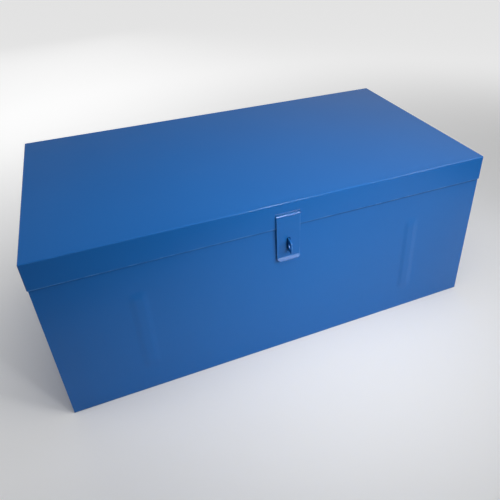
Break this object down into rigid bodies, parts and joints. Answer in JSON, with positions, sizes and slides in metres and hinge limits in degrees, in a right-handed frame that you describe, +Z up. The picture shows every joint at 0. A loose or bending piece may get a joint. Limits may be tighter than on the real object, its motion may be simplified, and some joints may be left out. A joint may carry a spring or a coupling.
{
  "type": "steel storage chest",
  "caption": "Long low sheet-steel storage chest with a hinged, hemmed lid, a slotted hasp strap over a padlock staple, and a drop handle on each end.",
  "frame": {"origin": "middle of the flat underside of the body, where the chest stands on the floor", "axes": "+X along the chest to its right end, +Y from the front with the hasp to the hinges at the rear, +Z up"},
  "size_m": [0.778, 0.4246, 0.306],
  "materials": {
    "blue_paint": "semi-gloss blue paint",
    "zinc_plate": "dull zinc-plated steel"
  },
  "bodies": {
    "chest": {"body_wrap": "blue_paint", "left_end_panel": "blue_paint", "front_left_stiffener": "blue_paint", "rear_left_stiffener": "blue_paint", "left_hinge_body_leaf": "blue_paint", "left_hinge_pin": "zinc_plate", "left_handle_plate": "zinc_plate", "left_handle_rivets": "zinc_plate", "right_end_panel": "blue_paint", "front_right_stiffener": "blue_paint", "rear_right_stiffener": "blue_paint", "right_hinge_body_leaf": "blue_paint", "right_hinge_pin": "zinc_plate", "right_handle_plate": "zinc_plate", "right_handle_rivets": "zinc_plate", "hinge_body_rivets": "blue_paint", "hasp_staple": "blue_paint"},
    "lid": {"lid_shell": "blue_paint", "left_lid_stiffener": "blue_paint", "right_lid_stiffener": "blue_paint", "left_hinge_lid_leaf": "blue_paint", "right_hinge_lid_leaf": "blue_paint", "hinge_lid_rivets": "blue_paint"},
    "hasp": {"hasp_strap": "blue_paint"},
    "left_handle": {"left_handle_bail": "zinc_plate"},
    "right_handle": {"right_handle_bail": "zinc_plate"}
  },
  "joints": [
    {"name": "lid_hinge", "type": "hinge", "parent": "chest", "child": "lid", "pos_m": [0, 0.2039, 0.2572], "axis": [-1, 0, 0], "range_deg": [0, 180]},
    {"name": "hasp_swing", "type": "hinge", "parent": "lid", "child": "hasp", "pos_m": [0, -0.20065, 0.2877], "axis": [-1, 0, 0], "range_deg": [0, 90]},
    {"name": "left_handle_swing", "type": "hinge", "parent": "chest", "child": "left_handle", "pos_m": [-0.3813, 0, 0.185], "axis": [0, 1, 0], "range_deg": [0, 90]},
    {"name": "right_handle_swing", "type": "hinge", "parent": "chest", "child": "right_handle", "pos_m": [0.3813, 0, 0.185], "axis": [0, -1, 0], "range_deg": [0, 90]}
  ]
}
